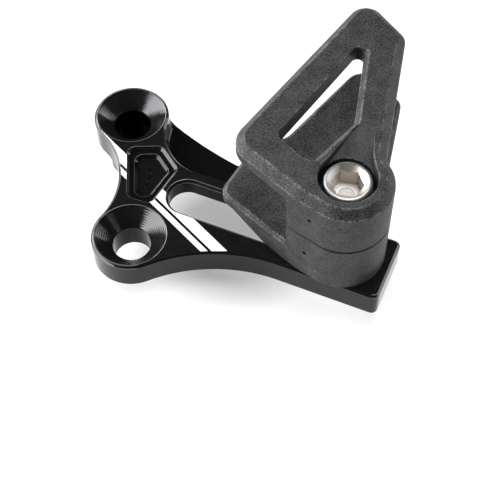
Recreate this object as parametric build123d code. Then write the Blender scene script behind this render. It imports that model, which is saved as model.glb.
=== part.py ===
from build123d import *
import math
import os

# Bicycle chain guide, in millimetres.
# The origin is midway between the two screw holes, at the back face of the mounting plate.
# +Y runs to the upper screw hole, and +Z points out of the front face, towards the chain.

# Mounting plate: two countersunk screw lobes
hole_spacing = 28.0
plate_thickness = 5.8
screw_hole_diameter = 7.0
countersink_diameter = 13.2
lobe_rim = 0.65
lobe_radius = countersink_diameter / 2 + lobe_rim
spacer_diameter = 10.4
lower_spacer_height = 2.2
upper_spacer_height = 7.6
spacer_groove_height = 0.9
spacer_groove_depth = 0.4

# Mounting plate: slotted arm
slot_end_x = 38.4
slot_end_y = -19.45
slot_angle = -25.5
slot_length = 31.0
slot_width = 7.0
slot_chamfer = 0.5
channel_width = 10.6
channel_depth = 2.3
arm_below_slot = 7.15
arm_above_slot = 6.0
arm_beyond_slot = 9.0
arm_corner_radius = 1.2
left_neck_radius = 15.0
lower_neck_radius = 30.0
upper_neck_radius = 10.5
plate_edge_chamfer = 0.45
plate_back_edge_chamfer = 0.3

# Mounting plate: thin wing beside the arm, and the shallow stepped pocket between the lobes
wing_thickness = 1.8
wing_start_angle = 12.0
wing_hollow = 0.5
wing_shoulder = (-26.6, 13.0)
wing_middle = (-10.6, 11.5)
wing_end = 5.6
wing_step_radius = 1.4
wing_step_overlap = 0.2
pocket_corners = [(-0.8, 6.2), (5.9, 6.0), (8.9, 0.4), (3.7, -7.4), (-0.8, -5.4)]
pocket_depth = 1.3
pocket_step_depth = 0.65
pocket_ledge = 1.4
pocket_corner_radius = 1.7
pocket_wall_slope = 0.5

# Clamp bolt and lock nut, metric size 5
bolt_diameter = 5.0
bolt_length = 25.0
bolt_head_diameter = 8.5
bolt_head_height = 5.0
bolt_head_edge = 0.6
bolt_tip_chamfer = 0.6
hex_key_size = 5.0
hex_key_depth = 2.8
hex_key_turn = -6.0
hex_mouth_radius = 3.0
hex_mouth_depth = 0.3
bolt_rest_from_end = 0.6
nut_flats = 8.0
nut_hex_height = 4.5
nut_corner_chamfer = 0.45
nut_collar_height = 1.8
nut_collar_diameter = 7.5
nut_collar_chamfer = 0.5
nut_lip_thickness = 0.3
nut_lip_opening = 0.35
insert_height = 1.7
insert_wall = 0.75
thread_clearance = 0.05

# Chain cage, measured from the bolt axis
cage_end_radius = 8.0
foot_radius = 8.0
guide_bore_clearance = 0.2
head_side_clearance = 0.85
head_below_face = 1.0
foot_height = 2.8
inner_plate_thickness = 2.6
chain_gap = 13.2
outer_plate_thickness = 3.4
seam_above_plate = 11.2
seam_chamfer = 0.25
gap_start = (-12.1, -3.5)
gap_middle = (0.3, 9.4)
gap_finish = (12.0, 11.8)
gap_corner_radius = 0.4
gap_middle_radius = 4.0
flank_hip = (-9.0, -2.97)
flank_hip_radius = 10.0
guide_heel_radius = 3.0

# Outer guide: corners, window and scoop beside the bolt head
outer_left = (-19.9, 8.94)
outer_tip = (7.0, 41.65)
outer_right = (13.35, 31.4)
outer_heel = (5.9, 0.0)
outer_left_radius = 5.0
outer_corner_radius = 3.2
outer_edge_chamfer = 1.5
window_corners = [(6.17, 31.5), (2.14, 11.8), (-6.36, 3.3), (-11.4, 9.5)]
window_radii = [1.05, 2.0, 1.6, 1.5]
window_bevel = 0.9
window_bevel_lean = (0.95, -0.42)
scoop_top = 10.9
scoop_corners = [(2.6, scoop_top), (5.5, scoop_top), (4.6, 4.5), (4.9, 0.7), (-3.5, 3.6)]
scoop_slope = 0.28

# Inner guide: corners, and the ramp under its flank
inner_left = (-21.6, 10.2)
inner_knee = (-14.9, 20.2)
inner_kink = (-8.3, 22.4)
inner_tip = (7.6, 39.7)
inner_right = (13.85, 29.4)
inner_heel = (6.1, 0.0)
inner_left_radius = 3.0
inner_knee_radius = 2.5
inner_kink_radius = 4.0
inner_tip_radius = 3.6
inner_right_radius = 2.5
inner_edge_chamfer = 0.6
inner_back_edge_chamfer = 0.4
ramp_start = 11.3
ramp_finish = 19.9
ramp_width = 6.0

# Two places nearer to each other than this count as one
touch_distance = 0.01

# Heights worked out from the sizes above
foot_bottom = plate_thickness
inner_back = foot_bottom + foot_height
inner_face = inner_back + inner_plate_thickness
outer_under = inner_face + chain_gap
outer_face = outer_under + outer_plate_thickness
seam = foot_bottom + seam_above_plate
head_top = outer_face - head_below_face
head_seat = head_top - bolt_head_height
bolt_tip = head_seat - bolt_length
nut_seat = channel_depth
nut_hex_end = nut_seat - nut_hex_height
nut_end = nut_hex_end - nut_collar_height

# Axes of the slot, and the bolt's place in it
lower_hole = Vector(0, -hole_spacing / 2)
upper_hole = Vector(0, hole_spacing / 2)
along = Vector(math.cos(math.radians(slot_angle)), math.sin(math.radians(slot_angle)))
across = Vector(-along.Y, along.X)
slot_end = Vector(slot_end_x, slot_end_y)


def arm_point(distance, offset):
    """Point in the plate's plan, from the slot's outer end along and across the slot."""
    return slot_end + along * distance + across * offset


bolt_axis = arm_point(-bolt_rest_from_end, 0)
BOLT = Pos(bolt_axis.X, bolt_axis.Y, 0)


def meeting_point(center_a, center_b, distance, side):
    """Point at one distance from two centres, to the left (1) or right (-1) of the line between them."""
    half = (center_b - center_a) * 0.5
    reach = math.sqrt(distance**2 - half.length**2)
    normal = Vector(-half.Y, half.X).normalized()
    return center_a + half + normal * (side * reach)


def arm_meeting_point(center, distance, offset):
    """Point at a distance from a centre and an offset from the slot's line, on the outer end's side."""
    start = arm_point(0, offset) - center
    lean = start.dot(along)
    travel = -lean + math.sqrt(lean**2 - start.dot(start) + distance**2)
    return arm_point(travel, offset)


def towards(center, target, distance):
    """Point on the way from a centre to a target."""
    return center + (target - center).normalized() * distance


def arc_about(center, start, end, major=False):
    """Circular arc about a centre, the short way round unless it is the major one."""
    middle = ((start - center) + (end - center)).normalized() * (start - center).length
    return ThreePointArc(start, center - middle if major else center + middle, end)


def rounded_polygon(corners, radii):
    """Closed polygon face whose corners are rounded one by one."""
    face = make_face(Polyline(*corners, close=True))
    for corner, radius in zip(corners, radii):
        if radius > 0:
            face = fillet(face.vertices().sort_by_distance(Vector(*corner))[0], radius)
    return face


def tangent_from(point, radius):
    """Point where a line from an outside point touches a circle about the origin, on its lower side."""
    reach = math.hypot(*point)
    angle = math.atan2(point[1], point[0]) + math.acos(radius / reach)
    return (radius * math.cos(angle), radius * math.sin(angle))


def edges_at(shape, height):
    """Edges of a shape that lie level at one height."""
    return shape.edges().filter_by_position(Axis.Z, height, height)


def edges_near(shape, height, faces):
    """Level edges whose middle lies on one of the given faces."""
    return [edge for edge in edges_at(shape, height)
            if min(face.distance_to(edge.center()) for face in faces) < touch_distance]


def upper_neck_center():
    """Centre of the hollow neck between the upper lobe and the arm."""
    reach = lobe_radius + upper_neck_radius
    return arm_meeting_point(upper_hole, reach, arm_above_slot + upper_neck_radius)


def arm_body():
    """Full-thickness body of the plate: two lobes, their necks and the arm, with a bevelled front edge."""
    left = meeting_point(lower_hole, upper_hole, lobe_radius + left_neck_radius, 1)
    lower_reach = lobe_radius + lower_neck_radius
    lower = arm_meeting_point(lower_hole, lower_reach, -arm_below_slot - lower_neck_radius)
    upper = upper_neck_center()
    lower_lobe_start = towards(lower_hole, left, lobe_radius)
    lower_lobe_end = towards(lower_hole, lower, lobe_radius)
    upper_lobe_start = towards(upper_hole, upper, lobe_radius)
    upper_lobe_end = towards(upper_hole, left, lobe_radius)
    lower_edge_start = lower + across * lower_neck_radius
    upper_edge_end = upper - across * upper_neck_radius
    lower_corner = arm_point(arm_beyond_slot, -arm_below_slot)
    upper_corner = arm_point(arm_beyond_slot, arm_above_slot)
    outline = [
        arc_about(lower_hole, lower_lobe_start, lower_lobe_end),
        arc_about(lower, lower_lobe_end, lower_edge_start),
        Line(lower_edge_start, lower_corner),
        Line(lower_corner, upper_corner),
        Line(upper_corner, upper_edge_end),
        arc_about(upper, upper_edge_end, upper_lobe_start),
        arc_about(upper_hole, upper_lobe_start, upper_lobe_end, major=True),
        arc_about(left, upper_lobe_end, lower_lobe_start),
    ]
    face = make_face(outline)
    for corner in (lower_corner, upper_corner):
        face = fillet(face.vertices().sort_by_distance(corner)[0], arm_corner_radius)
    body = extrude(face, plate_thickness)
    return chamfer(edges_at(body, plate_thickness), plate_edge_chamfer)


def wing_outline():
    """Plan of the thin flange between the upper lobe and the arm's outer end."""
    start_angle = math.radians(wing_start_angle)
    start = upper_hole + Vector(math.cos(start_angle), math.sin(start_angle)) * lobe_radius
    shoulder = arm_point(*wing_shoulder)
    end = arm_point(wing_end, arm_above_slot)
    outline = [
        SagittaArc(start, shoulder, -wing_hollow),
        ThreePointArc(shoulder, arm_point(*wing_middle), end),
        Line(end, arm_point(wing_end, 0)),
        Line(arm_point(wing_end, 0), arm_point(-slot_length, 0)),
        Line(arm_point(-slot_length, 0), upper_hole),
        Line(upper_hole, start),
    ]
    return make_face(outline)


def step_strip():
    """Hollow rounding along the straight side of the arm, where the wing steps up to it."""
    start = upper_neck_center() - across * upper_neck_radius
    length = (arm_point(wing_end, arm_above_slot) - start).length
    side = wing_step_radius + wing_step_overlap
    square = Pos(-wing_step_overlap, -wing_step_overlap) * Rectangle(side, side, align=(Align.MIN, Align.MIN))
    hollow = Pos(wing_step_radius, wing_step_radius) * Circle(wing_step_radius)
    corner = Plane(origin=(start.X, start.Y, wing_thickness), x_dir=across, z_dir=along)
    strip = extrude(corner * (square - hollow), length)
    return strip & extrude(wing_outline(), wing_thickness + wing_step_radius)


def spacer(center, height):
    """Round spacer on the back of the plate, with a relief groove round its root."""
    radius = spacer_diameter / 2
    neck = Cylinder(radius - spacer_groove_depth, spacer_groove_height)
    neck = Pos(0, 0, -spacer_groove_height / 2) * neck
    tube_height = height - spacer_groove_height
    tube = Pos(0, 0, -spacer_groove_height - tube_height / 2) * Cylinder(radius, tube_height)
    tube = chamfer(edges_at(tube, -height), spacer_groove_depth)
    return Pos(center.X, center.Y, 0) * (neck + tube)


def screw_hole(center):
    """Screw hole through the plate and its spacer, countersunk from the front."""
    depth = (countersink_diameter - screw_hole_diameter) / 2
    through = plate_thickness + upper_spacer_height
    hole = Pos(0, 0, plate_thickness - through / 2) * Cylinder(screw_hole_diameter / 2, through)
    cone = Cone(screw_hole_diameter / 2, countersink_diameter / 2, depth)
    return Pos(center.X, center.Y, 0) * (hole + Pos(0, 0, plate_thickness - depth / 2) * cone)


def pocket_cut(outline, depth):
    """Cut into the front of the plate with rounded corners, whose walls slope in to its floor."""
    face = fillet(outline.vertices(), pocket_corner_radius)
    cut = Pos(0, 0, plate_thickness) * extrude(face, -depth)
    return chamfer(edges_at(cut, plate_thickness - depth), pocket_wall_slope)


def pocket():
    """Shallow pocket between the lobes, with a ledge round its floor."""
    rim = make_face(Polyline(*pocket_corners, close=True))
    return pocket_cut(rim, pocket_step_depth) + pocket_cut(offset(rim, -pocket_ledge), pocket_depth)


def slot_cut(width, bottom, height, slope=0):
    """Round-ended cut along the slot's line, from one level up, or down with sloping walls."""
    middle = arm_point(-slot_length / 2, 0)
    face = Pos(middle.X, middle.Y, bottom) * Rot(0, 0, slot_angle) * SlotCenterToCenter(slot_length, width)
    return extrude(face, height, taper=slope)


def mounting_plate():
    body = arm_body()
    walls = body.faces().filter_by(lambda face: abs(face.normal_at().Z) < touch_distance)
    plate = body + extrude(wing_outline(), wing_thickness)
    steps = ShapeList(edges_near(plate, wing_thickness, walls)).filter_by(GeomType.CIRCLE)
    plate = fillet(steps, wing_step_radius) + step_strip()
    plate += spacer(lower_hole, lower_spacer_height)
    plate += spacer(upper_hole, upper_spacer_height)
    plate -= pocket()
    plate -= slot_cut(slot_width, 0, plate_thickness)
    plate -= slot_cut(channel_width, 0, channel_depth)
    plate -= slot_cut(slot_width + 2 * slot_chamfer, plate_thickness, -slot_chamfer, 45)
    for center in (lower_hole, upper_hole):
        plate -= screw_hole(center)
    neck_edge = edges_at(plate, 0).sort_by_distance(Vector(-lobe_radius, 0, 0))[0]
    return chamfer(neck_edge, plate_back_edge_chamfer)


def guide_outline(corners, radii, heel):
    """Plan of one guide: a polygon with rounded corners, drawn into the round end about the bolt."""
    touch = tangent_from(flank_hip, cage_end_radius)
    face = rounded_polygon([touch, flank_hip, *corners, heel, (0, 0)], [0, flank_hip_radius, *radii, 0, 0])
    face = face + Circle(cage_end_radius)
    ring = Circle(cage_end_radius).wire()
    notch = [corner for corner in face.vertices() if ring.distance_to(corner) < touch_distance]
    return fillet(ShapeList(notch).sort_by(Axis.Y)[-1], guide_heel_radius)


def outer_outline():
    radii = [outer_left_radius, outer_corner_radius, outer_corner_radius]
    return guide_outline([outer_left, outer_tip, outer_right], radii, outer_heel)


def inner_outline():
    corners = [inner_left, inner_knee, inner_kink, inner_tip, inner_right]
    radii = [inner_left_radius, inner_knee_radius, inner_kink_radius, inner_tip_radius, inner_right_radius]
    return guide_outline(corners, radii, inner_heel)


def column(bottom, top):
    """Solid part of the cage about the bolt, behind the chain gap, between two heights."""
    low = -2 * cage_end_radius
    keep = make_face(Polyline(gap_start, gap_middle, gap_finish, (gap_finish[0], low), (gap_start[0], low),
                              close=True))
    keep = fillet(keep.vertices().sort_by_distance(Vector(*gap_middle))[0], gap_middle_radius)
    body = extrude(outer_outline() & keep, top - bottom)
    sharp = body.edges().filter_by(Axis.Z).sort_by(Axis.X)
    body = Pos(0, 0, bottom) * fillet([sharp[0], sharp[-1]], gap_corner_radius)
    return chamfer(edges_at(body, seam), seam_chamfer)


def outer_guide():
    plate = Pos(0, 0, outer_under) * extrude(outer_outline(), outer_plate_thickness)
    plate = chamfer(edges_at(plate, outer_face), outer_edge_chamfer)
    window = rounded_polygon(window_corners, window_radii)
    plate -= Pos(0, 0, outer_under) * extrude(window, outer_plate_thickness)
    lean = Vector(*window_bevel_lean, 1)
    plate -= Pos(0, 0, outer_face - window_bevel) * extrude(window, window_bevel * lean.length, dir=lean)
    guide = plate + column(seam, outer_under)
    head_radius = bolt_head_diameter / 2 + head_side_clearance
    bore_radius = bolt_diameter / 2 + guide_bore_clearance
    guide -= Pos(0, 0, head_seat) * extrude(Circle(head_radius), outer_face - head_seat)
    guide -= Pos(0, 0, seam) * extrude(Circle(bore_radius), head_seat - seam)
    guide -= scoop()
    return BOLT * guide


def scoop():
    """Sloping hollow in the outer face that runs down to the bolt head."""
    floor = Plane(origin=(0, scoop_top, outer_face), x_dir=(1, 0, 0), z_dir=(0, -scoop_slope, 1))
    wedge = extrude(make_face(Polyline(*scoop_corners, close=True)), outer_plate_thickness)
    return split(Pos(0, 0, outer_under) * wedge, bisect_by=floor, keep=Keep.TOP)


def ramp():
    """Rib under the inner guide's flank, on the plate by the bolt and rising to the guide's back."""
    flank = Vector(outer_left[0] - flank_hip[0], outer_left[1] - flank_hip[1]).normalized()
    inwards = Vector(flank.Y, -flank.X)
    foot = inwards * Vector(*flank_hip).dot(inwards)
    top = inner_back + inner_back_edge_chamfer
    side = Plane(origin=foot, x_dir=flank, z_dir=inwards)
    profile = [
        (0, foot_bottom),
        (ramp_start, foot_bottom),
        (ramp_finish, inner_back),
        (ramp_finish, top),
        (0, top),
    ]
    rib = extrude(side * make_face(Polyline(*profile, close=True)), ramp_width)
    return rib & Pos(0, 0, foot_bottom) * extrude(inner_outline(), top - foot_bottom)


def inner_guide():
    plate = Pos(0, 0, inner_back) * extrude(inner_outline(), inner_plate_thickness)
    plate = chamfer(edges_at(plate, inner_face), inner_edge_chamfer)
    plate = chamfer(edges_at(plate, inner_back), inner_back_edge_chamfer)
    foot = Pos(0, 0, foot_bottom) * extrude(Circle(foot_radius), foot_height)
    guide = plate + foot + ramp() + column(inner_back, seam)
    bore_radius = bolt_diameter / 2 + guide_bore_clearance
    guide -= Pos(0, 0, foot_bottom) * extrude(Circle(bore_radius), seam - foot_bottom)
    return BOLT * guide


def clamp_bolt():
    head = Pos(0, 0, head_seat) * extrude(Circle(bolt_head_diameter / 2), bolt_head_height)
    head = chamfer(edges_at(head, head_top), bolt_head_edge)
    shank = Pos(0, 0, bolt_tip) * extrude(Circle(bolt_diameter / 2), bolt_length)
    shank = chamfer(edges_at(shank, bolt_tip), bolt_tip_chamfer)
    socket_radius = hex_key_size / math.sqrt(3)
    hexagon = Rot(0, 0, hex_key_turn) * RegularPolygon(socket_radius, 6)
    socket = Pos(0, 0, head_top - hex_key_depth) * extrude(hexagon, hex_key_depth)
    mouth = Cone(hex_key_size / 2 - hex_mouth_depth, hex_mouth_radius, hex_mouth_depth)
    mouth = Pos(0, 0, head_top - hex_mouth_depth / 2) * mouth
    return BOLT * (head + shank - socket - mouth)


def lock_nut():
    corner_radius = nut_flats / math.sqrt(3)
    hexagon = Pos(0, 0, nut_hex_end) * extrude(RegularPolygon(corner_radius, 6), nut_hex_height)
    barrel = Pos(0, 0, nut_hex_end) * extrude(Circle(corner_radius), nut_hex_height)
    barrel = chamfer(edges_at(barrel, nut_hex_end) + edges_at(barrel, nut_seat), nut_corner_chamfer)
    collar = Pos(0, 0, nut_end) * extrude(Circle(nut_collar_diameter / 2), nut_collar_height)
    collar = chamfer(edges_at(collar, nut_end), nut_collar_chamfer)
    bore_radius = bolt_diameter / 2 + thread_clearance
    nut = (hexagon & barrel) + collar
    nut -= Pos(0, 0, nut_end) * extrude(Circle(bore_radius), nut_seat - nut_end)
    groove = extrude(Circle(bore_radius + insert_wall), insert_height)
    nut -= Pos(0, 0, nut_end + nut_lip_thickness) * groove
    nut -= Pos(0, 0, nut_end) * extrude(Circle(bore_radius + nut_lip_opening), nut_lip_thickness)
    return BOLT * nut


def nut_insert():
    bore_radius = bolt_diameter / 2 + thread_clearance
    ring = extrude(Circle(bore_radius + insert_wall) - Circle(bore_radius), insert_height)
    return BOLT * Pos(0, 0, nut_end + nut_lip_thickness) * ring


nodes = {
    "mounting_plate": mounting_plate,
    "outer_guide": outer_guide,
    "inner_guide": inner_guide,
    "clamp_bolt": clamp_bolt,
    "lock_nut": lock_nut,
    "nut_insert": nut_insert,
}

os.makedirs("parts", exist_ok=True)
for name, make in nodes.items():
    export_step(make(), f"parts/{name}.step")
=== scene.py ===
import math

import bmesh
import bpy
from bpy.props import FloatProperty, FloatVectorProperty, IntProperty, PointerProperty
from mathutils import Matrix, Vector


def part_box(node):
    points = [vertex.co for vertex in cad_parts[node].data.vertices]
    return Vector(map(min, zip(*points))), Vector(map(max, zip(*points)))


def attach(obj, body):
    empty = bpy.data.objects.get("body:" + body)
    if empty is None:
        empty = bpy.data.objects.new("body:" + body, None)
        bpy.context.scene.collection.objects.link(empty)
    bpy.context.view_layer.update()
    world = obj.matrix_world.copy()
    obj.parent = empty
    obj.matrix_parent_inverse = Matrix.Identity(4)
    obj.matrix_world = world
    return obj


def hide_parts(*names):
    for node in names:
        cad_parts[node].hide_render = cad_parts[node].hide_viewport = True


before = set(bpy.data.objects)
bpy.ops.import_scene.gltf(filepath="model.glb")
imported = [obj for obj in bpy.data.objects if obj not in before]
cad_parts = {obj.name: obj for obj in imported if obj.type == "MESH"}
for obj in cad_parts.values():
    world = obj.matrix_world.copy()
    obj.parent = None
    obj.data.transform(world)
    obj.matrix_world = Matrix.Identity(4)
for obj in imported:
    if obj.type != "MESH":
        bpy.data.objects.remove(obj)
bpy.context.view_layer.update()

bl_info = {
    "name": "Bicycle chain guide",
    "version": (1, 0, 0),
    "blender": (4, 5, 0),
    "location": "3D View > Sidebar > Chain guide",
    "description": "Dresses the solids of a chain guide in metal, nylon and steel",
    "category": "Object",
}

# One millimetre, distances that count as none, and how far a cutter reaches past a face
MM = 0.001
near = 0.01 * MM
merge_distance = 0.0005 * MM
overshoot = 1 * MM

plate_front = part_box("mounting_plate")[1].z
head_low, head_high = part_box("clamp_bolt")
nut_low, nut_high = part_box("lock_nut")
ring_low, ring_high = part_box("nut_insert")
bolt_axis = (head_low + head_high) / 2
bolt_place = (bolt_axis.x, bolt_axis.y, 0)

# Line of the slot, and the plan of the pocket and of the stripes, in millimetres
slot_angle = math.radians(-25.5)
slot_across = Vector((-math.sin(slot_angle), math.cos(slot_angle), 0))
slot_offset = slot_across.dot(bolt_axis) / MM
slot_half_width = 3.5
pocket_plan = ((-0.8, 6.2), (5.9, 6.0), (8.9, 0.4), (3.7, -7.4), (-0.8, -5.4))
pocket_corners = [Vector((x, y, 0)) for x, y in pocket_plan]
stripe_across = Vector((0.7785, 0.6276, 0.0))
stripe_bands = ((-1.66, -0.62), (-0.11, 2.01))
stripe_end = -18.45

# Way that the column's front faces, and its moulding marks, in millimetres
column_facing = Vector((-0.634, -0.774, 0.0))
gate_places = {"outer_guide": (31.20, -24.08, 22.58), "inner_guide": (30.73, -23.70, 12.23)}


class ChainGuideSizes(bpy.types.PropertyGroup):
    """Sizes of the pieces that are made here."""

    screw_spacing: FloatProperty(
        name="Screw spacing", description="Distance between the two screw holes",
        default=28 * MM, unit="LENGTH")
    screw_hole: FloatProperty(
        name="Screw hole", description="Radius of the screw holes",
        default=3.5 * MM, unit="LENGTH")
    countersink: FloatProperty(
        name="Countersink", description="Radius of the screw holes' countersinks",
        default=6.6 * MM, unit="LENGTH")
    plate_edge: FloatProperty(
        name="Plate edge", description="Height of the plate's sloping front edge",
        default=0.45 * MM, unit="LENGTH")
    shank_radius: FloatProperty(
        name="Shank radius", description="Radius of the clamp screw's shank",
        default=2.5 * MM, unit="LENGTH")
    thread_pitch: FloatProperty(
        name="Thread pitch", description="Rise of the thread in one turn",
        default=0.8 * MM, unit="LENGTH")
    thread_depth: FloatProperty(
        name="Thread depth", description="Height of the thread's ridge",
        default=0.43 * MM, unit="LENGTH")
    thread_turns: IntProperty(
        name="Thread turns", description="Turns of thread on the clamp screw",
        default=26, min=1)
    head_height: FloatProperty(
        name="Head height", description="Height of the clamp screw's head",
        default=5 * MM, unit="LENGTH")
    head_edge: FloatProperty(
        name="Head edge", description="Rounding of the head's upper edge",
        default=0.6 * MM, unit="LENGTH")
    key_size: FloatProperty(
        name="Key size", description="Width across the flats of the hexagon socket",
        default=5 * MM, unit="LENGTH")
    key_depth: FloatProperty(
        name="Key depth", description="Depth of the hexagon socket",
        default=3.9 * MM, unit="LENGTH")
    key_mouth: FloatProperty(
        name="Key mouth", description="Radius of the socket's sloping mouth",
        default=3.6 * MM, unit="LENGTH")
    drill_mark: FloatProperty(
        name="Drill mark", description="Radius of the drill mark in the socket",
        default=1.3 * MM, unit="LENGTH")
    key_turn: FloatProperty(
        name="Key turn", description="Turn of the hexagon socket",
        default=math.radians(-12), subtype="ANGLE")
    nut_hex_height: FloatProperty(
        name="Nut height", description="Height of the nut's hexagon",
        default=4.5 * MM, unit="LENGTH")
    nut_collar: FloatProperty(
        name="Nut collar", description="Radius of the nut's round collar",
        default=3.75 * MM, unit="LENGTH")
    nut_bore: FloatProperty(
        name="Nut bore", description="Radius of the hole in the nut",
        default=2.55 * MM, unit="LENGTH")
    nut_lip: FloatProperty(
        name="Nut lip", description="Radius of the collar's opening over the ring",
        default=2.95 * MM, unit="LENGTH")
    gate_mark: FloatProperty(
        name="Gate mark", description="Radius of the small moulding marks",
        default=0.32 * MM, unit="LENGTH")


class ChainGuideFinish(bpy.types.PropertyGroup):
    """Colours of the finishes."""

    plate_black: FloatVectorProperty(
        name="Plate", description="Anodised metal of the plate",
        default=(0.04, 0.04, 0.0415), subtype="COLOR")
    stripe_white: FloatVectorProperty(
        name="Stripes", description="Printed stripes on the plate",
        default=(0.9, 0.9, 0.9), subtype="COLOR")
    nylon_dark: FloatVectorProperty(
        name="Nylon", description="Moulded nylon of the guides",
        default=(0.031, 0.0314, 0.0322), subtype="COLOR")
    nylon_light: FloatVectorProperty(
        name="Nylon flecks", description="Pale fibres in the nylon",
        default=(0.2, 0.2, 0.2), subtype="COLOR")
    screw_steel: FloatVectorProperty(
        name="Screw", description="Stainless steel of the clamp screw",
        default=(0.8, 0.79, 0.775), subtype="COLOR")
    socket_steel: FloatVectorProperty(
        name="Socket", description="Steel of the socket's walls",
        default=(0.62, 0.55, 0.48), subtype="COLOR")
    nut_zinc: FloatVectorProperty(
        name="Nut", description="Bright plating of the nut",
        default=(0.78, 0.78, 0.8), subtype="COLOR")
    ring_nylon: FloatVectorProperty(
        name="Ring", description="Nylon ring in the nut",
        default=(0.72, 0.71, 0.68), subtype="COLOR")


class ChainGuideStage(bpy.types.PropertyGroup):
    """Floor and camera."""

    floor_white: FloatVectorProperty(
        name="Floor", description="Colour of the floor",
        default=(0.36, 0.36, 0.36), subtype="COLOR")
    floor_radius: FloatProperty(
        name="Floor radius", description="Radius of the floor",
        default=0.5, unit="LENGTH")
    floor_glow: FloatProperty(
        name="Floor glow", description="Light that the floor sends out itself",
        default=0.77, min=0)
    lens: FloatProperty(
        name="Lens", description="Focal length of the camera, in millimetres",
        default=87.12, min=1, unit="CAMERA")


def finish_of(context):
    """Colours that the user has set."""
    return context.scene.chain_guide_finish


def sizes_of(context):
    """Sizes that the user has set."""
    return context.scene.chain_guide_sizes


# Shapes

def merged_copy(node):
    """Closed copy of a solid, with the triangles of its flat faces joined."""
    bm = bmesh.new()
    bm.from_mesh(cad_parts[node].data)
    bmesh.ops.remove_doubles(bm, verts=bm.verts, dist=merge_distance)
    flat = math.radians(0.3)
    bmesh.ops.dissolve_limit(bm, angle_limit=flat, verts=bm.verts, edges=bm.edges)
    return bm


def bevelled(bm, edges, width, segments, clamp=True):
    """Rounds some edges of a shape, and gives the new faces."""
    made = bmesh.ops.bevel(bm, geom=edges, offset=width, offset_type="OFFSET", affect="EDGES",
                           segments=segments, profile=0.5, material=-1, clamp_overlap=clamp)
    return made["faces"]


def eased(bm, width, chosen=lambda edge: True, segments=2):
    """Rounds the chosen outward corners a little, and marks the new faces 1 for wear and a painted
    edge highlight.
    """
    least_turn = math.radians(20)
    bm.normal_update()
    wear_and_painted_light = bm.faces.layers.float.get("wear_and_painted_light") or bm.faces.layers.float.new("wear_and_painted_light")
    corners = [edge for edge in bm.edges
               if edge.is_convex and edge.calc_face_angle(0.0) > least_turn and chosen(edge)]
    for face in bevelled(bm, corners, width, segments, clamp=False):
        face[wear_and_painted_light] = 1.0
    return bm


def rounded_rim(bm, top, slope, width):
    """Rounds both edges of the sloping rim that lies between two heights."""
    foot = top - slope

    def level(edge, height):
        return all(abs(v.co.z - height) < near for v in edge.verts)

    def sloping(face):
        return (all(v.co.z > foot - near for v in face.verts)
                and any(level(edge, top) for edge in face.edges)
                and any(level(edge, foot) for edge in face.edges))

    rim = {edge for face in bm.faces if sloping(face) for edge in face.edges}
    edges = [edge for edge in bm.edges
             if edge in rim and (level(edge, top) or level(edge, foot))]
    bevelled(bm, edges, width, segments=3)
    return bm


def soften(bm):
    """Smooth shading, with sharp edges at all but the slight turns."""
    slight = math.radians(32)
    bm.normal_update()
    for face in bm.faces:
        face.smooth = True
    for edge in bm.edges:
        edge.smooth = edge.calc_face_angle(0.0) < slight
    return bm


def capped(bm, height):
    """Keeps a whole shape at or below one height."""
    for v in bm.verts:
        v.co.z = min(v.co.z, height)
    return bm


def moved(bm, place):
    """Moves a whole shape by a vector."""
    bmesh.ops.translate(bm, verts=bm.verts, vec=place)
    return bm


def rotated(bm, matrix):
    """Turns a whole shape about the origin."""
    bmesh.ops.rotate(bm, verts=bm.verts, cent=(0, 0, 0), matrix=matrix)
    return bm


def turned(profile, segments=96):
    """Round shape from a line of (radius, height) points, turned about the upright axis."""
    bm = bmesh.new()
    corners = [bm.verts.new((radius, 0, height)) for radius, height in profile]
    for start, end in zip(corners, corners[1:]):
        bm.edges.new((start, end))
    bmesh.ops.spin(bm, geom=bm.verts[:] + bm.edges[:], cent=(0, 0, 0), axis=(0, 0, 1),
                   dvec=(0, 0, 0), angle=2 * math.pi, steps=segments,
                   use_merge=True, use_duplicate=False)
    bmesh.ops.remove_doubles(bm, verts=bm.verts, dist=merge_distance)
    bmesh.ops.recalc_face_normals(bm, faces=bm.faces)
    return bm


def round_edges(bm, radius, height, width, segments):
    """Rounds the circular edge of a turned shape at one radius and height."""
    def on_circle(v):
        return abs(v.co.z - height) < near and abs(v.co.xy.length - radius) < near

    edges = [edge for edge in bm.edges if all(on_circle(v) for v in edge.verts)]
    bevelled(bm, edges, width, segments)


def prism(sides, radius, bottom, top, turn=0.0):
    """Upright prism with an even number of sides, and a corner on +X before it is turned."""
    bm = bmesh.new()
    bmesh.ops.create_cone(bm, cap_ends=True, segments=sides, radius1=radius, radius2=radius,
                          depth=top - bottom)
    rotated(bm, Matrix.Rotation(math.pi / 2 + turn, 3, "Z"))
    return moved(bm, (0, 0, (top + bottom) / 2))


def mesh_of(bm, name):
    """Mesh made from a shape, which is used up."""
    mesh = bpy.data.meshes.new(name)
    bm.to_mesh(mesh)
    bm.free()
    return mesh


def add_object(name, data):
    """New object in the scene, from a mesh, a lamp or a camera."""
    made = bpy.data.objects.new(name, data)
    bpy.context.scene.collection.objects.link(made)
    return made


def combined(bm, *changes):
    """Applies cuts, joins and overlaps with other closed shapes, one after the other."""
    shapes = [add_object("shape", mesh_of(shape, "shape"))
              for shape in (bm, *(tool for _, tool in changes))]
    for (operation, _), tool in zip(changes, shapes[1:]):
        boolean = shapes[0].modifiers.new(operation, "BOOLEAN")
        boolean.operation = operation
        boolean.solver = "EXACT"
        boolean.object = tool
    bpy.context.view_layer.update()
    finished = shapes[0].evaluated_get(bpy.context.evaluated_depsgraph_get())
    result = bpy.data.meshes.new_from_object(finished)
    made = bmesh.new()
    made.from_mesh(result)
    bpy.data.meshes.remove(result)
    for shape in shapes:
        mesh = shape.data
        bpy.data.objects.remove(shape)
        bpy.data.meshes.remove(mesh)
    if not made.faces:
        raise RuntimeError("the shapes left nothing when they were combined")
    return made


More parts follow.
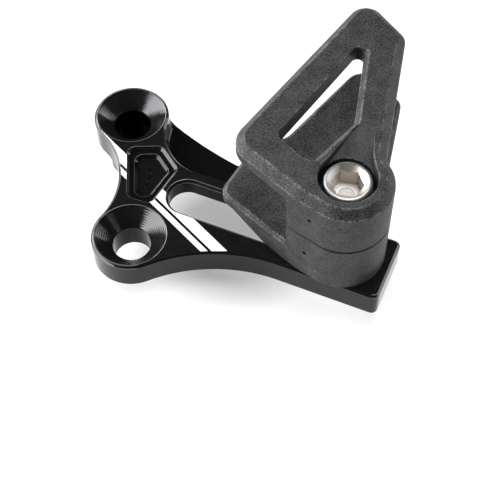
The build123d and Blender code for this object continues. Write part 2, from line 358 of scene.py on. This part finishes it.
def add_piece(bm, name, body, slot, material, *nodes):
    """Finished piece that rides on a body and stands for its solids."""
    piece = add_object(name, mesh_of(bm, name))
    piece.data.materials.append(material)
    even = piece.modifiers.new("Even normals", "WEIGHTED_NORMAL")
    even.mode = "FACE_AREA"
    even.keep_sharp = True
    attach(piece, body)
    if nodes:
        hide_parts(*nodes)
    return piece


# Finishes

def set_inputs(tree, node, inputs):
    """Gives a node's inputs values, or joins them to the sockets of other nodes."""
    for key, value in inputs.items():
        if isinstance(value, bpy.types.NodeSocket):
            tree.links.new(value, node.inputs[key])
        else:
            node.inputs[key].default_value = value


def add_node(tree, kind, inputs=None, **options):
    """New shader node with its options and inputs."""
    made = tree.nodes.new(kind)
    for name, value in options.items():
        setattr(made, name, value)
    set_inputs(tree, made, inputs or {})
    return made


def math_node(tree, operation, *values, clamp=False):
    """Output of a Math node."""
    inputs = dict(enumerate(values))
    made = add_node(tree, "ShaderNodeMath", inputs, operation=operation, use_clamp=clamp)
    return made.outputs[0]


def product(tree, first, *others):
    """Values and masks multiplied with each other."""
    result = first
    for value in others:
        result = math_node(tree, "MULTIPLY", result, value)
    return result


def vector_node(tree, operation, *values, output="Vector"):
    """Output of a Vector Math node."""
    inputs = dict(enumerate(values))
    return add_node(tree, "ShaderNodeVectorMath", inputs, operation=operation).outputs[output]


def mix_node(tree, factor, first, second):
    """Output of a colour mix, whose colours are the sockets 6 and 7."""
    inputs = {0: factor, 6: first, 7: second}
    return add_node(tree, "ShaderNodeMix", inputs, data_type="RGBA").outputs[2]


def range_node(tree, value, low, high, new_low, new_high):
    """Value moved from one range to another, and kept inside it."""
    inputs = {"Value": value, "From Min": low, "From Max": high,
              "To Min": new_low, "To Max": new_high}
    return add_node(tree, "ShaderNodeMapRange", inputs).outputs[0]


def above(tree, value, low, high):
    """Mask that is 0 up to the low value and 1 from the high value on."""
    return range_node(tree, value, low, high, 0.0, 1.0)


def below(tree, value, low, high):
    """Mask that is 1 up to the low value and 0 from the high value on."""
    return range_node(tree, value, low, high, 1.0, 0.0)


def rgba(colour, brightness=1.0):
    """Colour with its alpha, made darker or brighter."""
    return (*(brightness * value for value in colour), 1.0)


def grey(value):
    """Grey with its alpha."""
    return (value, value, value, 1.0)


def new_group(name, inputs, outputs):
    """Empty shader group with named sockets, each of the kind Float or Vector."""
    tree = bpy.data.node_groups.new(name, "ShaderNodeTree")
    for side, sockets in (("INPUT", inputs), ("OUTPUT", outputs)):
        for socket, kind in sockets.items():
            tree.interface.new_socket(socket, in_out=side, socket_type="NodeSocket" + kind)
    given = tree.nodes.new("NodeGroupInput").outputs
    return tree, given, tree.nodes.new("NodeGroupOutput")


def place_group(tree, group, **inputs):
    """Outputs of a group placed in a material."""
    return add_node(tree, "ShaderNodeGroup", inputs, node_tree=group).outputs


def grain_group():
    """Fine grain, flecks and broad mottling of a surface, in millimetres."""
    name = "Surface grain"
    if name in bpy.data.node_groups:
        return bpy.data.node_groups[name]
    tree, given, result = new_group(
        name, {"Place": "Vector", "Fineness": "Float"},
        {"Grain": "Float", "Fleck": "Float", "Mottle": "Float", "Height": "Float"})
    place, fineness = given["Place"], given["Fineness"]
    fine = add_node(tree, "ShaderNodeTexNoise", {
        "Vector": place, "Scale": fineness, "Detail": 3.0, "Roughness": 0.65}).outputs[0]
    broad = add_node(tree, "ShaderNodeTexNoise", {
        "Vector": place, "Scale": product(tree, fineness, 0.12), "Detail": 2.0}).outputs[0]
    cells = add_node(tree, "ShaderNodeTexVoronoi", {
        "Vector": place, "Scale": product(tree, fineness, 0.8)}).outputs[0]
    fleck = below(tree, cells, 0.12, 0.34)
    set_inputs(tree, result, {
        "Grain": fine,
        "Fleck": fleck,
        "Mottle": above(tree, broad, 0.3, 0.7),
        "Height": math_node(tree, "ADD", fine, product(tree, fleck, 0.25)),
    })
    return tree


def rings_group():
    """Turning marks round an upright axis, in millimetres."""
    name = "Turned rings"
    if name in bpy.data.node_groups:
        return bpy.data.node_groups[name]
    tree, given, result = new_group(
        name, {"Place": "Vector", "Centre": "Vector", "Spacing": "Float"},
        {"Height": "Float", "Radius": "Float"})
    away = vector_node(tree, "SUBTRACT", given["Place"], given["Centre"])
    in_plan = vector_node(tree, "MULTIPLY", away, (1, 1, 0))
    radius = vector_node(tree, "LENGTH", in_plan, output="Value")
    count = math_node(tree, "DIVIDE", radius, given["Spacing"])
    wave = math_node(tree, "SINE", product(tree, count, 2 * math.pi))
    uneven = add_node(tree, "ShaderNodeTexNoise", {"W": count, "Scale": 0.37, "Detail": 2.0},
                      noise_dimensions="1D").outputs[0]
    height = math_node(tree, "ADD", product(tree, wave, 0.2), uneven)
    set_inputs(tree, result, {"Height": height, "Radius": radius})
    return tree


def side_group():
    """Distance from a straight line in the plan to the side that it faces, in millimetres."""
    name = "Side of a line"
    if name in bpy.data.node_groups:
        return bpy.data.node_groups[name]
    tree, given, result = new_group(
        name, {"Place": "Vector", "Facing": "Vector", "Offset": "Float"},
        {"Distance": "Float", "Mask": "Float"})
    reach = vector_node(tree, "DOT_PRODUCT", given["Place"], given["Facing"], output="Value")
    distance = math_node(tree, "SUBTRACT", reach, given["Offset"])
    blur = 0.03
    set_inputs(tree, result, {"Distance": distance, "Mask": above(tree, distance, -blur, blur)})
    return tree


def side_of(tree, place, facing, offset):
    """Outputs of the group that measures from a line in the plan."""
    return place_group(tree, side_group(), Place=place, Facing=facing, Offset=offset)


def new_material(name):
    """Material with its shader, and the place on the piece in millimetres."""
    material = bpy.data.materials.new(name)
    material.use_nodes = True
    tree = material.node_tree
    tree.nodes.clear()
    shader = add_node(tree, "ShaderNodeBsdfPrincipled")
    add_node(tree, "ShaderNodeOutputMaterial", {"Surface": shader.outputs[0]})
    place = vector_node(tree, "SCALE", add_node(tree, "ShaderNodeTexCoord").outputs["Object"])
    place.node.inputs["Scale"].default_value = 1 / MM
    return material, tree, shader, place


def wear_and_painted_light_mask(tree):
    """Mark on the faces, from 1 where edges are rubbed and painted highlit to -1 where gaps are
    painted in shade.
    """
    return add_node(tree, "ShaderNodeAttribute", attribute_name="wear_and_painted_light").outputs["Fac"]


def bump(tree, shader, height, strength, distance):
    """Joins a height to the shader's normal."""
    inputs = {"Height": height, "Strength": strength, "Distance": distance}
    made = add_node(tree, "ShaderNodeBump", inputs)
    tree.links.new(made.outputs[0], shader.inputs["Normal"])


def plate_material(context):
    """Black anodised metal with printed stripes, turned countersinks and a milled pocket."""
    finish, sizes = finish_of(context), sizes_of(context)
    material, tree, shader, place = new_material("black_anodised_plate")
    front = plate_front / MM
    along, _, upright = add_node(tree, "ShaderNodeSeparateXYZ", {0: place}).outputs

    # Two printed stripes, which end short of the plate's lower edge
    on_front = above(tree, upright, front - 0.05, front - 0.02)
    before_end = side_of(tree, place, (0, 1, 0), stripe_end)["Mask"]
    bands = []
    for low, high in stripe_bands:
        inner = side_of(tree, place, stripe_across, low)["Mask"]
        outer = side_of(tree, place, -stripe_across, -high)["Mask"]
        bands.append(product(tree, inner, outer))
    stripes = math_node(tree, "MULTIPLY", math_node(tree, "ADD", *bands),
                        product(tree, before_end, on_front), clamp=True)

    # Cutter paths that follow the pocket's sides inwards
    corner_blend, cutter_step = 1.6, 0.24
    inwards = None
    for start, end in zip(pocket_corners, pocket_corners[1:] + pocket_corners[:1]):
        side = end - start
        facing = Vector((side.y, -side.x, 0)).normalized()
        step = side_of(tree, place, facing, facing.dot(start))["Distance"]
        if inwards is None:
            inwards = step
        else:
            inwards = math_node(tree, "SMOOTH_MIN", inwards, step, corner_blend)
    pocket_floor = product(tree, above(tree, inwards, 1.1, 1.3),
                           below(tree, upright, front - 1.25, front - 1.1),
                           above(tree, upright, front - 1.6, front - 1.5))
    paths = math_node(tree, "PINGPONG", math_node(tree, "DIVIDE", inwards, cutter_step), 1.0)
    height = product(tree, paths, pocket_floor, 0.4)

    # Painted shade darkens the walls, the slot and the screw holes, painted sheen brightens the
    # countersinks, and turning marks run round them
    front_gloss, painted_wall_shade, painted_sunk_sheen, bore_shade_share = 0.5, 0.2, 0.66, 0.2
    below_front = below(tree, upright, front - 0.1, front - 0.02)
    deep = below(tree, upright, front - 0.6, front - 0.55)
    off_slot = math_node(tree, "ABSOLUTE",
                         side_of(tree, place, slot_across, slot_offset)["Distance"])
    in_slot = below(tree, off_slot, slot_half_width + 0.05, slot_half_width + 0.1)
    past_pocket = above(tree, along, 9.4, 9.6)
    shaded_bores = product(tree, in_slot, past_pocket, deep)
    painted_sheen_and_shade = math_node(tree, "SUBTRACT", front_gloss, product(tree, deep, painted_wall_shade))
    above_root = above(tree, upright, front - 4.0, front - 3.5)
    hole, rim = sizes.screw_hole / MM, sizes.countersink / MM
    for side in (-1, 1):
        centre = (0, side * sizes.screw_spacing / 2 / MM, 0)
        rings = place_group(tree, rings_group(), Place=place, Spacing=0.34, Centre=centre)
        inside = below(tree, rings["Radius"], rim - 0.1, rim)
        marks = product(tree, rings["Height"], inside, below_front, 0.5)
        height = math_node(tree, "ADD", height, marks)
        bore = below(tree, rings["Radius"], hole + 0.05, hole + 0.1)
        shaded_bores = math_node(tree, "MAXIMUM", shaded_bores, bore)
        sunk = product(tree, inside, above_root, painted_sunk_sheen)
        painted_sheen_and_shade = math_node(tree, "MAXIMUM", painted_sheen_and_shade, sunk)
    painted_sheen_and_shade = product(tree, painted_sheen_and_shade, range_node(tree, shaded_bores, 0.0, 1.0, 1.0, bore_shade_share))

    # The black is a dark metal, and the pale front edges, dusty and printed places are less
    # metallic. The front edges are pale grey partly from rubbed wear and partly as a painted
    # highlight
    clean_metal, dust_loss, rubbed_highlight_grey = 0.86, 0.41, grey(0.12)
    grain = place_group(tree, grain_group(), Place=place, Fineness=9.0)
    height = math_node(tree, "ADD", height, product(tree, grain["Height"], 0.05))
    tracks = product(tree, pocket_floor, above(tree, paths, 0.6, 1.0))
    dusty = math_node(tree, "MAXIMUM", product(tree, grain["Mottle"], 0.15), tracks)
    near_front = range_node(tree, upright, front - 1.0, front - 0.6, 0.0, 0.9)
    rubbed_and_highlit = product(tree, near_front, wear_and_painted_light_mask(tree))
    # The painted shade and sheen set how bright the black metal is
    black = mix_node(tree, painted_sheen_and_shade, grey(0.0), rgba(finish.plate_black, 2.0))
    # Pale grey on the front edges: rubbed wear, and a painted highlight
    black = mix_node(tree, rubbed_and_highlit, black, rubbed_highlight_grey)
    satin = range_node(tree, grain["Mottle"], 0.0, 1.0, 0.1, 0.14)
    metal = math_node(tree, "SUBTRACT", clean_metal, product(tree, dusty, dust_loss))
    still_black = math_node(tree, "SUBTRACT", 1.0, math_node(tree, "MAXIMUM", rubbed_and_highlit, stripes))
    set_inputs(tree, shader, {
        "Base Color": mix_node(tree, stripes, black, rgba(finish.stripe_white)),
        "Roughness": math_node(tree, "ADD", satin, product(tree, stripes, 0.3)),
        "Metallic": product(tree, metal, still_black),
        "IOR": 1.5,
    })
    bump(tree, shader, height, 0.35, 0.1 * MM)
    return material


def nylon_material(context):
    """Dark moulded nylon with a fine speckled grain and paler edges."""
    finish = finish_of(context)
    material, tree, shader, place = new_material("moulded_nylon")
    grain = place_group(tree, grain_group(), Place=place, Fineness=3.2)
    speckle = math_node(tree, "ADD", range_node(tree, grain["Grain"], 0.4, 0.6, -0.05, 0.7),
                        product(tree, grain["Mottle"], 0.35), clamp=True)
    dark = mix_node(tree, speckle, rgba(finish.nylon_dark, 0.12), rgba(finish.nylon_dark, 2.0))

    # Gaps are painted nearly black as shade, and edges are rubbed pale in patches, partly as
    # painted highlights
    wear_and_painted_light = wear_and_painted_light_mask(tree)
    dark = mix_node(tree, below(tree, wear_and_painted_light, -1.0, 0.0), dark, grey(0.004))
    patches = range_node(tree, grain["Mottle"], 0.25, 0.75, 0.15, 1.0)
    spots = range_node(tree, grain["Grain"], 0.42, 0.6, 0.1, 1.0)
    rubbed_and_highlit = product(tree, wear_and_painted_light, patches, spots, 0.7)
    flecks = product(tree, grain["Fleck"], range_node(tree, wear_and_painted_light, -1.0, 0.0, 0.0, 0.14))
    pale = math_node(tree, "MAXIMUM", flecks, rubbed_and_highlit)
    set_inputs(tree, shader, {
        "Base Color": mix_node(tree, pale, dark, rgba(finish.nylon_light)),
        "Roughness": range_node(tree, grain["Grain"], 0.3, 0.7, 0.42, 0.58),
        "Specular IOR Level": 0.25,
    })
    bump(tree, shader, grain["Height"], 0.3, 0.1 * MM)
    return material


def steel_material(context):
    """Turned stainless steel, browner on the socket's walls and paler on its floor."""
    finish, sizes = finish_of(context), sizes_of(context)
    material, tree, shader, place = new_material("stainless_steel")
    top = head_high.z / MM
    floor = top - sizes.key_depth / MM
    _, _, upright = add_node(tree, "ShaderNodeSeparateXYZ", {0: place}).outputs
    rings = place_group(tree, rings_group(), Place=place, Spacing=0.22, Centre=bolt_axis / MM)
    grain = place_group(tree, grain_group(), Place=place, Fineness=6.0)
    steel = mix_node(tree, grain["Mottle"], rgba(finish.screw_steel, 0.9),
                     rgba(finish.screw_steel))

    # The head's rounded edge is duller
    edge = product(tree, above(tree, rings["Radius"], 3.55, 3.65),
                   range_node(tree, grain["Grain"], 0.35, 0.65, 0.7, 0.1))
    steel = mix_node(tree, edge, steel, rgba(finish.screw_steel, 0.38))

    # The socket's floor is painted pale, as a lit copy of the steel, and its walls and the drill
    # mark are brown
    inside = below(tree, rings["Radius"], 2.9, 3.0)
    painted_lit_floor = product(tree, inside, below(tree, upright, floor + 0.04, floor + 0.1))
    steel = mix_node(tree, painted_lit_floor, steel, (0.97, 0.96, 0.94, 1.0))
    walls = product(tree, below(tree, upright, top - 0.9, top - 0.7),
                    above(tree, upright, floor + 0.04, floor + 0.1))
    drilled = product(tree, below(tree, upright, floor - 0.1, floor - 0.02),
                      above(tree, upright, floor - 1.0, floor - 0.9),
                      range_node(tree, grain["Grain"], 0.4, 0.6, 0.2, 0.8))
    brown = product(tree, inside, math_node(tree, "MAXIMUM", walls, drilled))
    steel = mix_node(tree, brown, steel, rgba(finish.socket_steel))

    # Dark lines round the drill mark and the socket's mouth
    above_drill = above(tree, upright, floor - 0.3, floor - 0.2)
    for radius in (sizes.drill_mark / MM, sizes.key_mouth / MM):
        off_line = math_node(tree, "ABSOLUTE",
                             math_node(tree, "SUBTRACT", rings["Radius"], radius))
        line = product(tree, range_node(tree, off_line, 0.03, 0.1, 0.7, 0.0), above_drill)
        steel = mix_node(tree, line, steel, rgba(finish.socket_steel, 0.2))
    satin = range_node(tree, grain["Mottle"], 0.0, 1.0, 0.38, 0.48)
    set_inputs(tree, shader, {
        "Base Color": steel,
        "Roughness": math_node(tree, "ADD", satin, product(tree, painted_lit_floor, 0.2)),
        "Metallic": 1.0,
    })
    height = math_node(tree, "ADD", product(tree, rings["Height"], 0.5),
                       product(tree, grain["Height"], 0.4))
    bump(tree, shader, height, 0.12, 0.05 * MM)
    return material


def zinc_material(context):
    """Bright plating with slight cloudiness and turning marks."""
    finish = finish_of(context)
    material, tree, shader, place = new_material("bright_plating")
    grain = place_group(tree, grain_group(), Place=place, Fineness=5.0)
    rings = place_group(tree, rings_group(), Place=place, Spacing=0.25, Centre=bolt_axis / MM)
    set_inputs(tree, shader, {
        "Base Color": mix_node(tree, grain["Mottle"], rgba(finish.nut_zinc, 0.88),
                               rgba(finish.nut_zinc)),
        "Roughness": range_node(tree, grain["Mottle"], 0.0, 1.0, 0.14, 0.24),
        "Metallic": 1.0,
    })
    height = math_node(tree, "ADD", product(tree, rings["Height"], 0.4),
                       product(tree, grain["Height"], 0.5))
    bump(tree, shader, height, 0.15, 0.05 * MM)
    return material


def ring_material(context):
    """Pale nylon of the ring in the nut."""
    finish = finish_of(context)
    material, tree, shader, place = new_material("pale_nylon")
    grain = place_group(tree, grain_group(), Place=place, Fineness=4.0)
    set_inputs(tree, shader, {
        "Base Color": mix_node(tree, grain["Mottle"], rgba(finish.ring_nylon, 0.9),
                               rgba(finish.ring_nylon)),
        "Roughness": range_node(tree, grain["Height"], 0.3, 0.9, 0.38, 0.5),
    })
    bump(tree, shader, grain["Height"], 0.2, 0.05 * MM)
    return material


# Pieces

class GUIDE_OT_plate(bpy.types.Operator):
    """Dress the mounting plate in black anodised metal"""

    bl_idname = "chain_guide.plate"
    bl_label = "Mounting plate"

    def execute(self, context):
        sizes = sizes_of(context)
        rim_rounding, edge_rounding = 0.2 * MM, 0.08 * MM

        # Rounder screw holes and countersinks, cut a little wider than those of the solid
        bottom, top = -20 * MM, plate_front + overshoot
        root = plate_front - (sizes.countersink - sizes.screw_hole)
        hole = sizes.screw_hole + near
        profile = [(0, bottom), (hole, bottom), (hole, root), (hole + top - root, top), (0, top)]
        cuts = []
        for side in (-1, 1):
            place = (0, side * sizes.screw_spacing / 2, 0)
            cuts.append(("DIFFERENCE", moved(turned(profile, segments=128), place)))
        plate = combined(merged_copy("mounting_plate"), *cuts)
        rounded_rim(plate, plate_front, sizes.plate_edge, rim_rounding)
        soften(capped(eased(plate, edge_rounding), plate_front))
        add_piece(plate, "plate", "bracket", "plate_metal", plate_material(context),
                  "mounting_plate")
        return {"FINISHED"}


class GUIDE_OT_guides(bpy.types.Operator):
    """Dress the outer and the inner guide in moulded nylon"""

    bl_idname = "chain_guide.guides"
    bl_label = "Chain cage"

    def execute(self, context):
        nylon = nylon_material(context)
        radius = sizes_of(context).gate_mark
        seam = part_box("outer_guide")[0].z
        seam_band, seam_face = 0.3 * MM, 10 * MM**2
        fine_rounding, edge_rounding = 0.08 * MM, 0.22 * MM
        upright = column_facing.to_track_quat("Z", "Y").to_matrix()
        for node, gate_place in gate_places.items():
            place = Vector(gate_place) * MM
            dent = rotated(prism(20, radius, -1.3 * radius, 1.3 * radius), upright)
            guide = combined(merged_copy(node), ("DIFFERENCE", moved(dent, place)))

            def fine(edge, place=place):
                """True for the edges of the seam and of the moulding mark."""
                return (all(abs(v.co.z - seam) < seam_band for v in edge.verts)
                        or all((v.co - place).length < 1.6 * radius for v in edge.verts))

            eased(guide, fine_rounding, fine)
            eased(guide, edge_rounding, lambda edge: not fine(edge), segments=3)
            soften(capped(guide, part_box(node)[1].z))

            # The seam and the moulding mark are gaps, marked to be painted darker as shade
            wear_and_painted_light = guide.faces.layers.float["wear_and_painted_light"]
            for face in guide.faces:
                centre = face.calc_center_median()
                area = face.calc_area()
                if abs(centre.z - seam) < seam_band and area < seam_face:
                    face[wear_and_painted_light] = -0.7
                if (centre - place).length < 1.4 * radius and area < radius**2:
                    face[wear_and_painted_light] = -1.0
            name = node.replace("_guide", "_cheek")
            add_piece(guide, name, "cage", "guide_nylon", nylon, node)
        return {"FINISHED"}


class GUIDE_OT_screw(bpy.types.Operator):
    """Make the clamp screw with its socket and thread"""

    bl_idname = "chain_guide.screw"
    bl_label = "Clamp screw"

    def execute(self, context):
        steel = steel_material(context)
        sizes = sizes_of(context)
        core = sizes.shank_radius - sizes.thread_depth
        screw = self.with_socket(self.turned_blank(sizes, core), sizes)
        moved(soften(screw), bolt_place)
        add_piece(screw, "screw", "carriage", "bolt_steel", steel, "clamp_bolt")
        ridge = self.thread_ridge(sizes, core)
        moved(soften(ridge), bolt_place)
        add_piece(ridge, "screw_thread", "carriage", "bolt_steel", steel)
        return {"FINISHED"}

    def turned_blank(self, sizes, core):
        """Head, shank and the core of the thread, without the socket."""
        tip, top = head_low.z, head_high.z
        seat = top - sizes.head_height
        head, shank = (head_high.x - head_low.x) / 2, sizes.shank_radius
        tip_slope, runout, seat_edge = 0.4 * MM, 0.5 * MM, 0.15 * MM
        thread_margin = 0.9 * MM
        thread_top = tip + thread_margin + sizes.thread_pitch * sizes.thread_turns
        screw = turned([(0, tip), (core - tip_slope, tip), (core, tip + tip_slope),
                        (core, thread_top), (shank, thread_top + runout), (shank, seat),
                        (head, seat), (head, top), (0, top)])
        round_edges(screw, head, top, sizes.head_edge, segments=6)
        round_edges(screw, head, seat, seat_edge, segments=2)
        return screw

    def with_socket(self, screw, sizes):
        """Cuts the hexagon socket, the drill mark in its floor and its sloping mouth."""
        top = head_high.z
        outside = top + overshoot
        floor = top - sizes.key_depth
        corner = sizes.key_size / math.sqrt(3)
        socket = prism(6, corner, floor, outside, sizes.key_turn)
        drill_tip, drill_top = floor - 0.7 * MM, floor + 0.1 * MM
        drill = turned([(0, drill_tip), (sizes.drill_mark, floor),
                        (sizes.drill_mark, drill_top), (0, drill_top)], segments=48)
        mouth_tip = top - 0.85 * sizes.key_mouth
        mouth = turned([(0, mouth_tip), (sizes.key_mouth, top), (sizes.key_mouth, outside),
                        (0, outside)])
        return combined(screw, ("DIFFERENCE", socket), ("DIFFERENCE", drill),
                        ("DIFFERENCE", mouth))

    def thread_ridge(self, sizes, core):
        """Ridge of the thread, sunk a little into the core."""
        turns, turn_steps = sizes.thread_turns, 40
        rise = sizes.thread_pitch
        root, crest = 0.46 * rise, 0.07 * rise
        sunk, shank = core - 0.1 * MM, sizes.shank_radius
        bare_tip = 0.45 * MM
        start = head_low.z + bare_tip + root
        section = [(sunk, -root), (shank, -crest), (shank, crest), (sunk, root)]
        ridge = bmesh.new()
        loop = [ridge.verts.new((radius, 0, start + height)) for radius, height in section]
        for first, second in zip(loop, loop[1:] + loop[:1]):
            ridge.edges.new((first, second))
        bmesh.ops.spin(ridge, geom=ridge.verts[:] + ridge.edges[:], cent=(0, 0, 0),
                       axis=(0, 0, 1), dvec=(0, 0, rise / turn_steps),
                       angle=2 * math.pi * turns, steps=turn_steps * turns,
                       use_merge=False, use_duplicate=False)
        open_ends = [edge for edge in ridge.edges if edge.is_boundary]
        bmesh.ops.holes_fill(ridge, edges=open_ends, sides=4)
        bmesh.ops.recalc_face_normals(ridge, faces=ridge.faces)
        return ridge


class GUIDE_OT_nut(bpy.types.Operator):
    """Make the lock nut and the nylon ring in its collar"""

    bl_idname = "chain_guide.nut"
    bl_label = "Lock nut"

    def execute(self, context):
        sizes = sizes_of(context)
        lip, hole = sizes.nut_lip, sizes.nut_bore
        ring = (ring_high.x - ring_low.x) / 2
        low, high = ring_low.z, ring_high.z

        # Hexagon with sloping corners, a round collar and a stepped bore for the ring
        end, seat = nut_low.z, nut_high.z
        hex_end = seat - sizes.nut_hex_height
        corner = (nut_high.x - nut_low.x) / 2
        slope, slope_height = 0.45 * MM, 0.27 * MM
        barrel = turned([(0, hex_end), (corner - slope, hex_end), (corner, hex_end + slope_height),
                         (corner, seat - slope_height), (corner - slope, seat), (0, seat)])
        collar_root, collar_edge = hex_end + 0.3 * MM, 0.65 * MM
        collar = turned([(0, end), (sizes.nut_collar, end), (sizes.nut_collar, collar_root),
                         (0, collar_root)])
        round_edges(collar, sizes.nut_collar, end, collar_edge, segments=6)
        bore = turned([(0, end - overshoot), (lip, end - overshoot), (lip, low), (ring, low),
                       (ring, high), (hole, high), (hole, seat + overshoot),
                       (0, seat + overshoot)])
        nut = combined(prism(6, corner, hex_end, seat), ("INTERSECT", barrel),
                       ("UNION", collar), ("DIFFERENCE", bore))
        moved(soften(nut), bolt_place)
        add_piece(nut, "nut", "carriage", "nut_steel", zinc_material(context), "lock_nut")

        ring_edge = 0.12 * MM
        insert = turned([(hole, low), (ring, low), (ring, high), (hole, high), (hole, low)])
        round_edges(insert, hole, low, ring_edge, segments=3)
        moved(soften(insert), bolt_place)
        add_piece(insert, "nut_ring", "carriage", "insert_nylon", ring_material(context),
                  "nut_insert")
        return {"FINISHED"}


# Stage

class GUIDE_OT_stage(bpy.types.Operator):
    """Lay the floor that the part rests on, and set the light and the camera"""

    bl_idname = "chain_guide.stage"
    bl_label = "Floor, light and camera"

    def execute(self, context):
        stage = context.scene.chain_guide_stage
        # The part lies on the rims of both spacers and on the nut
        contact = Vector((-1.53, -18.55, -2.2)) * MM
        upwards = Vector((0.0643, 0.189, 0.9799)).normalized()
        circle = bmesh.new()
        bmesh.ops.create_circle(circle, cap_ends=True, segments=128, radius=stage.floor_radius)
        moved(rotated(circle, upwards.to_track_quat("Z", "Y").to_matrix()), contact)
        floor = add_object("floor", mesh_of(circle, "floor"))
        floor.data.materials.append(self.floor_material(stage))
        self.set_light(context)
        self.set_camera(context, stage)
        return {"FINISHED"}

    def floor_material(self, stage):
        """Pale paper that glows a little and can be seen through from below."""
        material = bpy.data.materials.new("pale_floor")
        material.use_nodes = True
        tree = material.node_tree
        tree.nodes.clear()
        place = add_node(tree, "ShaderNodeTexCoord").outputs["Object"]
        _, ahead, _ = add_node(tree, "ShaderNodeSeparateXYZ", {0: place}).outputs

        # Painted shadows: the floor is dark inside the upper spacer, and its glow is dimmer under
        # the slot; it is also dimmer in front
        spacer_foot = Vector((0, 14, -7.6)) * MM
        slot_middle = Vector((19, -7, 0)) * MM
        from_spacer = vector_node(tree, "DISTANCE", place, spacer_foot, output="Value")
        from_slot = vector_node(tree, "DISTANCE", place, slot_middle, output="Value")
        outside_spacer_shadow = above(tree, from_spacer, 4.9 * MM, 5.4 * MM)
        slot_shadow = range_node(tree, from_slot, 12 * MM, 20 * MM, 0.45, 1.0)
        in_front = range_node(tree, ahead, -65 * MM, -38 * MM, 0.85, 1.0)
        strength = product(tree, outside_spacer_shadow, slot_shadow, in_front, stage.floor_glow)
        colour = mix_node(tree, outside_spacer_shadow, grey(0.04), rgba(stage.floor_white))
        paper = add_node(tree, "ShaderNodeBsdfDiffuse", {"Color": colour})
        glow = add_node(tree, "ShaderNodeEmission", {"Color": grey(1.0), "Strength": strength})
        lit = add_node(tree, "ShaderNodeAddShader", {0: paper.outputs[0], 1: glow.outputs[0]})
        clear = add_node(tree, "ShaderNodeBsdfTransparent")
        behind = add_node(tree, "ShaderNodeNewGeometry").outputs["Backfacing"]
        shown = add_node(tree, "ShaderNodeMixShader", {
            0: behind, 1: lit.outputs[0], 2: clear.outputs[0]})
        add_node(tree, "ShaderNodeOutputMaterial", {"Surface": shown.outputs[0]})
        return material

    def set_light(self, context):
        """Pale surroundings near the horizon, a dim ceiling and soft lamps."""
        world = bpy.data.worlds.new("studio")
        context.scene.world = world
        world.use_nodes = True
        tree = world.node_tree
        tree.nodes.clear()
        direction = add_node(tree, "ShaderNodeTexCoord").outputs["Generated"]
        _, _, up = add_node(tree, "ShaderNodeSeparateXYZ", {0: direction}).outputs
        ramp = add_node(tree, "ShaderNodeValToRGB", {0: up})
        horizon, ceiling = ramp.color_ramp.elements
        horizon.position = 0.1
        horizon.color = grey(1.0)
        ceiling.position = 0.4
        ceiling.color = grey(0.1)
        sky = add_node(tree, "ShaderNodeBackground", {"Color": ramp.outputs[0], "Strength": 0.35})
        add_node(tree, "ShaderNodeOutputWorld", {"Surface": sky.outputs[0]})

        # Direction, width, height and power of each lamp
        centre, distance = Vector((20, -5, 5)) * MM, 0.45
        lamps = {
            "left_softbox": ((-0.965, -0.05, 0.26), 0.78, 0.25, 4.6),
            "right_softbox": ((0.975, 0.1, 0.17), 0.48, 0.15, 0.85),
            "front_softbox": ((0.84, -0.38, 0.38), 0.3, 0.12, 0.12),
            "back_softbox": ((-0.6, 0.6, 0.53), 0.3, 0.2, 2.1),
            "high_softbox": ((0.15, 0.12, 0.98), 0.2, 0.2, 1.08),
        }
        for name, (facing, width, height, power) in lamps.items():
            light = bpy.data.lights.new(name, "AREA")
            light.shape = "RECTANGLE"
            light.size = width
            light.size_y = height
            light.energy = power
            lamp = add_object(name, light)
            towards = Vector(facing).normalized()
            lamp.location = centre + towards * distance
            lamp.rotation_euler = towards.to_track_quat("Z", "Y").to_euler()

    def set_camera(self, context, stage):
        """Camera at the place from which the part is seen."""
        view = bpy.data.cameras.new("camera")
        view.sensor_width = 36
        view.lens = stage.lens
        view.clip_start = 0.01
        view.clip_end = 10
        camera = add_object("camera", view)
        place = Vector((17.108, -137.081, 188.525)) * MM
        right = Vector((0.99898, -0.04498, -0.00484))
        ahead = Vector((0.02045, 0.54443, -0.83856))
        turn = Matrix((right, right.cross(ahead), -ahead)).transposed().to_4x4()
        camera.matrix_world = Matrix.Translation(place) @ turn
        context.scene.camera = camera
        context.scene.view_settings.view_transform = "Standard"


# Sidebar and start

class GUIDE_PT_panel(bpy.types.Panel):
    """Steps that dress the chain guide"""

    bl_idname = "GUIDE_PT_panel"
    bl_label = "Chain guide"
    bl_space_type = "VIEW_3D"
    bl_region_type = "UI"
    bl_category = "Chain guide"

    def draw(self, context):
        for step in steps:
            self.layout.operator(step.bl_idname)
        for name, cls in settings.items():
            box = self.layout.box()
            for setting in cls.__annotations__:
                box.prop(getattr(context.scene, name), setting)


steps = (GUIDE_OT_plate, GUIDE_OT_guides, GUIDE_OT_screw, GUIDE_OT_nut, GUIDE_OT_stage)
settings = {
    "chain_guide_sizes": ChainGuideSizes,
    "chain_guide_finish": ChainGuideFinish,
    "chain_guide_stage": ChainGuideStage,
}


def register():
    """Adds the settings, the steps and the panel."""
    for cls in (*settings.values(), *steps, GUIDE_PT_panel):
        bpy.utils.register_class(cls)
    for name, cls in settings.items():
        setattr(bpy.types.Scene, name, PointerProperty(type=cls))


def unregister():
    """Takes the settings, the steps and the panel away again."""
    for name in settings:
        delattr(bpy.types.Scene, name)
    for cls in reversed((*settings.values(), *steps, GUIDE_PT_panel)):
        bpy.utils.unregister_class(cls)


def main():
    """Makes every piece and the stage."""
    register()
    bpy.ops.chain_guide.plate()
    bpy.ops.chain_guide.guides()
    bpy.ops.chain_guide.screw()
    bpy.ops.chain_guide.nut()
    bpy.ops.chain_guide.stage()


if __name__ == "__main__":
    main()
